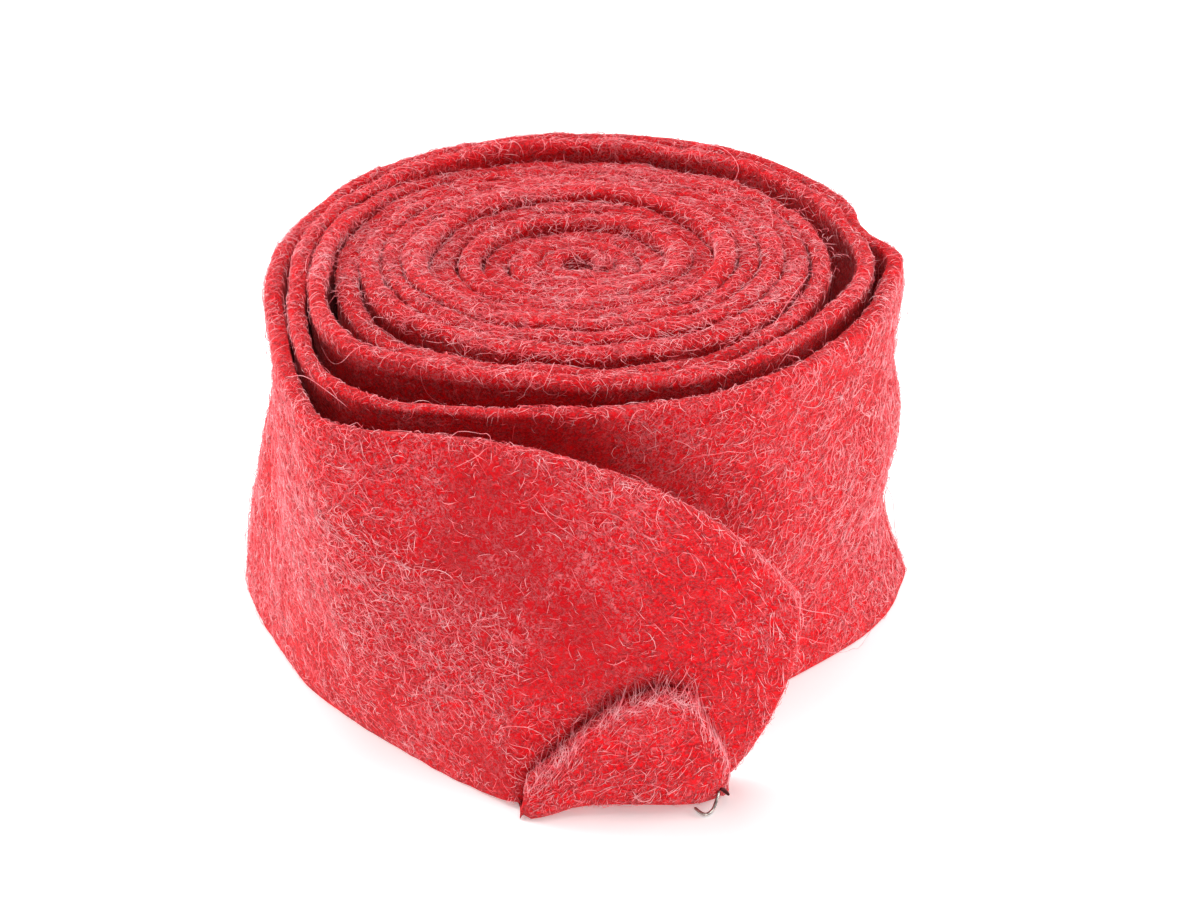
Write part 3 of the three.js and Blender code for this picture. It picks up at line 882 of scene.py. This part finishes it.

# Patches with more or fewer pale fibres: centre x, y, z, radius, amount. Those with fewer fibres on the
# front of the loose end go with the painted shade there. Those with more along its left part are a painted
# highlight on its lit bend.
PATCHES = [
    (-56.0, -49.6, 44.3, 14.0, 1.1),
    (-40.6, -69.1, 40.5, 12.0, 1.1),
    (-28.2, -74.4, 29.7, 11.0, 1.0),
    (-13.6, -78.4, 53.0, 13.0, -0.8),
    (2.9, -82.6, 37.1, 11.0, -0.8),
    (-36.0, 6.0, 77.0, 14.0, 0.5),
    (-33.8, -70.5, 65.1, 9.0, -0.3),
    (-9.0, -88.0, 6.5, 5.0, 2.6),
    (-16.5, -82.2, 8.1, 6.0, -0.4),
    (21.8, -85.0, 47.7, 14.0, -0.3),
]

# Where the cloth can be seen, and how thickly the pale fibres lie there. More of them lie on cloth that
# faces the sides, a painted sheen, and on cloth that faces up.
LEAN_BASE, LEAN_SIDE, LEAN_TOP = 0.36, 1.2, 0.45
SPOT_AMOUNT, FLECK_AMOUNT = 0.62, 0.70
THINNEST, THICKEST = 0.10, 2.6
LONGEST_STEP = 3.0
surface = Felt(grid)
cells = surface.points[::2, ::2]
facing = surface.normal[::2, ::2]
shape = cells.shape[:2]
coarse = cells.reshape(-1, 3)
open_sky = exposure(coarse, facing.reshape(-1, 3), band_points, triangles)
sky = open_sky.reshape(shape)
area = np.minimum(surface.step[::2, ::2], LONGEST_STEP) * 2 * (surface.gap[::2, ::2] * 2)
spots = Ripple(21, 34.0)
flecks = Ripple(22, 11.0)
# Painted sheen: more pale fibres on cloth facing the sides, and more fuzz on cloth facing up.
sheen_and_fuzz = LEAN_BASE + LEAN_SIDE * np.abs(facing[..., 0]) ** 3 + LEAN_TOP * np.maximum(facing[..., 2], 0)
patch = sheen_and_fuzz * (1.0 + SPOT_AMOUNT * spots(cells) + FLECK_AMOUNT * flecks(cells))
for x, y, z, radius, amount in PATCHES:
    away = np.linalg.norm(cells - (x, y, z), axis=-1) / radius
    patch += amount * np.exp(-away * away)
floor_side = smoothstep(cells[..., 2], 0.2, 1.5)
# Pale fibres keep off hidden cloth and thin out in half-hidden hollows, which leaves those hollows darker:
# a painted shade.
weight = area * smoothstep(sky, 0.2, 0.75) * np.clip(patch, THINNEST, THICKEST) * floor_side
weight = (weight / weight.sum()).ravel()


def start_places(count, rng):
    """Random places on the cloth to start strands from."""
    chosen = rng.choice(len(weight), size=count, p=weight)
    i, j = np.unravel_index(chosen, shape)
    s = surface.inside(i * 2 + rng.uniform(-1, 1, count))
    return s, j * 2 + rng.uniform(-1, 1, count)


def lying_strands(count, segments, seed, lengths, curl, rise, radius):
    """Strands that lie curled on the cloth."""
    rng = np.random.default_rng(seed)
    s, c = start_places(count, rng)
    length = rng.uniform(lengths[0], lengths[1], count)
    step = length / segments
    turn = rng.normal(0, curl, (count, 1)) + rng.normal(0, curl * 0.5, (count, segments))
    turns = turn * step[:, None]
    t = np.linspace(0, 1, segments + 1)[None, :]
    peak = rng.uniform(rise[0], rise[1], (count, 1))
    end = peak * rng.uniform(0.1, 1.1, (count, 1))
    lift = 0.04 + peak * np.sin(t * math.pi) * (1 - 0.5 * t) + end * t
    paths = surface.walk(s, c, rng.uniform(0, 2 * math.pi, count), turns, step, lift)
    return strand_mesh(paths, rng.uniform(radius[0], radius[1], count))


def standing_strands(count, segments, seed, lengths, radius):
    """Short strands that stand up from the cloth."""
    rng = np.random.default_rng(seed)
    s, c = start_places(count, rng)
    length = rng.uniform(lengths[0], lengths[1], count)
    stand = rng.uniform(0.35, 0.95, (count, 1))
    step = length * np.sqrt(1 - stand[:, 0] ** 2) / segments
    turns = rng.normal(0, 0.5, (count, segments))
    t = np.linspace(0, 1, segments + 1)[None, :]
    bow = t + 0.25 * rng.normal(0, 1, (count, 1)) * t * (1 - t)
    lift = -0.15 + (length[:, None] * stand) * bow
    paths = surface.walk(s, c, rng.uniform(0, 2 * math.pi, count), turns, step, lift)
    return strand_mesh(paths, rng.uniform(radius[0], radius[1], count))


def top_height(points):
    """Height of the wound top at each point, evened out between neighbouring turns."""
    turn = (np.degrees(np.arctan2(points[..., 1], points[..., 0])) % 360) / 360
    r = np.hypot(points[..., 0], points[..., 1])
    k = np.arange(TURNS).reshape((TURNS,) + (1,) * turn.ndim)
    place = np.minimum(k + turn, LAST_PLACE)
    radii = turn_radius(place)
    heights = turn_height(place)
    below = np.clip((radii < r).sum(0) - 1, 0, TURNS - 2)
    low_r, high_r = (np.take_along_axis(radii, (below + n)[None], 0)[0] for n in (0, 1))
    low_z, high_z = (np.take_along_axis(heights, (below + n)[None], 0)[0] for n in (0, 1))
    f = np.clip((r - low_r) / np.maximum(high_r - low_r, 0.5), 0, 1)
    return low_z + (high_z - low_z) * f


WEB_RADIUS, WEB_DEPTH = 52, 0.84


def web_strands(count, segments, seed, lengths, curl, rise, radius):
    """Strands matted across the top of the roll, from turn to turn."""
    rng = np.random.default_rng(seed)
    r = WEB_RADIUS * np.sqrt(rng.uniform(0.0, 1.0, count))
    around = rng.uniform(0, 2 * math.pi, count)
    at = np.stack([r * np.cos(around), r * np.sin(around) * WEB_DEPTH], -1)
    length = rng.uniform(lengths[0], lengths[1], count)
    turn = rng.normal(0, curl, (count, 1)) + rng.normal(0, curl * 0.5, (count, segments))
    step = (length / segments)[:, None]
    heading = rng.uniform(0, 2 * math.pi, (count, 1)) + np.cumsum(turn * step, 1)
    steps = np.stack([np.cos(heading), np.sin(heading)], -1) * step[..., None]
    flat = np.concatenate([at[:, None], at[:, None] + np.cumsum(steps, 1)], 1)
    t = np.linspace(0, 1, segments + 1)[None, :]
    arch = rng.uniform(rise[0], rise[1], (count, 1)) * np.sin(t * math.pi)
    z = top_height(flat) + arch + rng.uniform(-0.5, 0.25, (count, 1)) * (1 - t) + 0.1
    paths = np.concatenate([flat, z[..., None]], -1)
    return strand_mesh(paths, rng.uniform(radius[0], radius[1], count))


EDGE_STATIONS = 49
BRIDGE_POINTS = 5


def bridging_strands(count, seed, radius):
    """Strands from the edge of the folded corner down onto the cloth behind it."""
    rng = np.random.default_rng(seed)
    edge = [loose_station(float(u)) for u in np.linspace(FLAP_FROM, FLAP_TO, EDGE_STATIONS)]
    tip = np.array([middle[-1] for middle, _ in edge])
    up = unit(tip - np.array([middle[-2] for middle, _ in edge]))
    out = -np.array([normal[-1] for _, normal in edge])
    along = unit(np.gradient(tip, axis=0))
    at = rng.uniform(0, len(edge) - 1, count)
    marks = np.arange(len(edge))
    picked = []
    for values in (tip, up, out, along):
        picked.append(np.stack([np.interp(at, marks, column) for column in values.T], -1)[:, None])
    tip, up, out, along = picked
    t = np.linspace(0, 1, BRIDGE_POINTS)[None, :, None]
    start = rng.uniform(-3.0, 0.2, (count, 1, 1))
    reach = rng.uniform(0.8, 4.0, (count, 1, 1))
    skew = rng.normal(0, 3.2, (count, 1, 1))
    sway = rng.normal(0, 0.7, (count, 1, 1)) * np.sin(t * math.pi)
    past = smoothstep(start + reach * t, -0.4, 2.2)
    depth = HALF + rng.uniform(0.1, 0.5, (count, 1, 1)) - (2 * FOLD_RADIUS + FOLD_SPRING) * past
    paths = tip + up * (start + reach * t) + along * (skew * t + sway) + out * depth
    return strand_mesh(paths, rng.uniform(radius[0], radius[1], count))


# Long single fibres that stand clear of the cloth: radius and path.
STRAYS = [
    (0.07, [(-57.0, -47.0, 75.0), (-53.5, -50.5, 77.2), (-49.0, -55.0, 76.6), (-44.5, -59.5, 75.2)]),
    (0.06, [(38.5, -83.0, 46.0), (42.5, -84.0, 45.0), (46.5, -84.2, 44.4), (49.0, -83.5, 43.0)]),
    (0.06, [(46.0, -8.0, 77.5), (44.0, -16.0, 79.4), (40.0, -26.0, 79.2), (37.0, -33.0, 77.4)]),
    (0.06, [(24.0, 46.0, 81.0), (30.0, 40.0, 82.6), (33.0, 34.0, 80.6), (30.0, 27.0, 78.2)]),
]


def stray(path, radius, points=14):
    """One long fibre through the given points."""
    path = np.asarray(path, float)
    t = np.linspace(0, len(path) - 1, points)
    line = np.stack([smooth_at(path[:, n], t) for n in range(3)], -1)
    return strand_mesh(line[None], np.array([radius]))


def hair_piece(name, parts, low, high):
    """One piece of hairs on the felt, coloured between low and high."""
    piece = mesh_object(name, *joined(parts), fibre_material(name, low, high))
    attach(piece, "root")
    return piece


SHARE = 1.0
FUZZ_COUNT, WEB_COUNT, LONG_COUNT, BRIDGE_COUNT = 15000, 3600, 150, 360
FIBRES = {
    "fibre_pale": (31, (0.95, 0.27, 0.30, 1.0), (0.98, 0.55, 0.57, 1.0)),
    "fibre_pink": (32, (0.94, 0.13, 0.16, 1.0), (0.97, 0.33, 0.36, 1.0)),
    "fibre_rose": (33, (0.90, 0.05, 0.065, 1.0), (0.95, 0.18, 0.21, 1.0)),
    "fibre_soft": (34, (0.95, 0.19, 0.22, 1.0), (0.98, 0.42, 0.45, 1.0)),
}
FUZZ_COLOURS = (0.92, 0.07, 0.09, 1.0), (0.96, 0.27, 0.30, 1.0)
WEB_COLOURS = (0.93, 0.14, 0.18, 1.0), (0.97, 0.42, 0.45, 1.0)
# Strands of each colour: count, segments, seed added, lengths, curl, rise and radius.
LYING = [
    (8800, 2, 0, (0.9, 2.0), 0.5, (0.05, 0.4), (0.06, 0.085)),
    (4200, 3, 100, (1.8, 3.4), 0.4, (0.06, 0.5), (0.055, 0.08)),
    (2200, 4, 200, (3.0, 5.5), 0.32, (0.08, 0.6), (0.055, 0.08)),
    (260, 7, 300, (5.0, 10.0), 0.26, (0.15, 1.0), (0.055, 0.075)),
]
for name, (seed, low, high) in FIBRES.items():
    parts = []
    for count, segments, extra, lengths, curl, rise, radius in LYING:
        parts.append(lying_strands(int(count * SHARE), segments, seed + extra, lengths, curl, rise, radius))
    hair_piece(name, parts, low, high)

fuzz_parts = [standing_strands(int(FUZZ_COUNT * SHARE), 2, 41, (0.6, 1.7), (0.045, 0.07))]
hair_piece("fibre_fuzz", fuzz_parts, *FUZZ_COLOURS)

web_parts = [
    web_strands(int(WEB_COUNT * SHARE), 3, 51, (1.8, 4.5), 0.35, (0.05, 0.5), (0.05, 0.075)),
    lying_strands(int(LONG_COUNT * SHARE), 12, 52, (11.0, 26.0), 0.16, (0.4, 2.6), (0.05, 0.07)),
    bridging_strands(int(BRIDGE_COUNT * SHARE), 53, (0.05, 0.07)),
    *(stray(path, radius) for radius, path in STRAYS),
]
hair_piece("fibre_web", web_parts, *WEB_COLOURS)

# The thin bent wire at the foot of the folded corner, with a dark tip.
WIRE = np.array([
    (21.6, -85.3, 0.55),
    (22.9, -87.0, 0.45),
    (24.0, -87.4, 0.45),
    (25.2, -86.0, 0.6),
    (26.0, -84.5, 1.9),
    (26.5, -83.7, 3.4),
])
TIP = np.array([(26.7, -83.5, 3.7), (27.3, -83.1, 3.1), (27.9, -82.9, 2.4), (28.4, -82.8, 1.7)])
WIRE_RADIUS, WIRE_POINTS, WIRE_SIDES = 0.33, 60, 12
TIP_RADIUS, TIP_POINTS, TIP_SIDES = 0.42, 16, 10
t = np.linspace(0, len(WIRE) - 1, WIRE_POINTS)
wire_path = np.stack([smooth_at(column, t) for column in WIRE.T], -1)
wire_size = WIRE_RADIUS * np.minimum(1, 0.35 + 3 * np.minimum(t, t[-1] - t))
tip_path = np.stack([smooth_at(column, np.linspace(0, len(TIP) - 1, TIP_POINTS)) for column in TIP.T], -1)
tip_size = TIP_RADIUS * np.sin(np.linspace(0.15, 0.93, TIP_POINTS) * math.pi) ** 0.5
pieces = [tube(wire_path, wire_size, WIRE_SIDES), tube(tip_path, tip_size, TIP_SIDES)]
wire = mesh_object("wire_pin", *joined(pieces), wire_material())
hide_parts("corner_pin")
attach(wire, "root")

# Plain pale floor, soft studio light and the camera. Lights: name, place, size and power.
FLOOR_HALF = 6000.0
FLOOR_TOP = -0.1
AIM = (0.0, 0.0, 0.04)
LIGHTS = [
    ("left_light", (-0.93, 0.38, 0.28), (0.6, 0.5), 15.0),
    ("right_light", (0.96, 0.16, 0.30), (0.6, 0.5), 6.9),
    ("top_light", (0.0, 0.10, 1.0), (0.8, 0.6), 8.2),
    ("front_light", (0.34, -0.95, 0.08), (0.8, 0.12), 6.2),
]
WORLD_STRENGTH = 0.32
CLIP_START, CLIP_END = 0.05, 50.0
scene = bpy.context.scene
signs = ((-1, -1), (1, -1), (1, 1), (-1, 1))
floor_corners = [(x * FLOOR_HALF, y * FLOOR_HALF, FLOOR_TOP) for x, y in signs]
floor = mesh_object("floor", floor_corners, [(0, 1, 2, 3)], floor_material(), smooth=False)
floor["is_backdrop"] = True


def area_light(name, at, size, power):
    """Soft light of the given size in metres and power in watts, turned to the roll."""
    data = bpy.data.lights.new(name, "AREA")
    data.shape = "RECTANGLE"
    data.size, data.size_y = size
    data.energy = power
    lamp = bpy.data.objects.new(name, data)
    lamp.location = Vector(at)
    lamp.rotation_mode = "QUATERNION"
    lamp.rotation_quaternion = (Vector(AIM) - Vector(at)).to_track_quat("-Z", "Y")
    scene.collection.objects.link(lamp)


for light in LIGHTS:
    area_light(*light)
world = bpy.data.worlds.new("studio")
world.use_nodes = True
background = world.node_tree.nodes["Background"]
background.inputs["Color"].default_value = WHITE
background.inputs["Strength"].default_value = WORLD_STRENGTH
scene.world = world
scene.view_settings.view_transform = "Standard"

camera_data = bpy.data.cameras.new("camera")
camera_data.lens = CAMERA_LENS
camera_data.sensor_width = CAMERA_SENSOR
camera_data.clip_start = CLIP_START
camera_data.clip_end = CLIP_END
camera = bpy.data.objects.new("camera", camera_data)
pitch, yaw = math.radians(CAMERA_PITCH), math.radians(CAMERA_YAW)
look = Vector((math.sin(yaw) * math.cos(pitch), math.cos(yaw) * math.cos(pitch), -math.sin(pitch)))
camera.location = Vector(CAMERA_AT) * MM
camera.rotation_mode = "QUATERNION"
camera.rotation_quaternion = look.to_track_quat("-Z", "Y")
scene.collection.objects.link(camera)
scene.camera = camera

low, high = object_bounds()
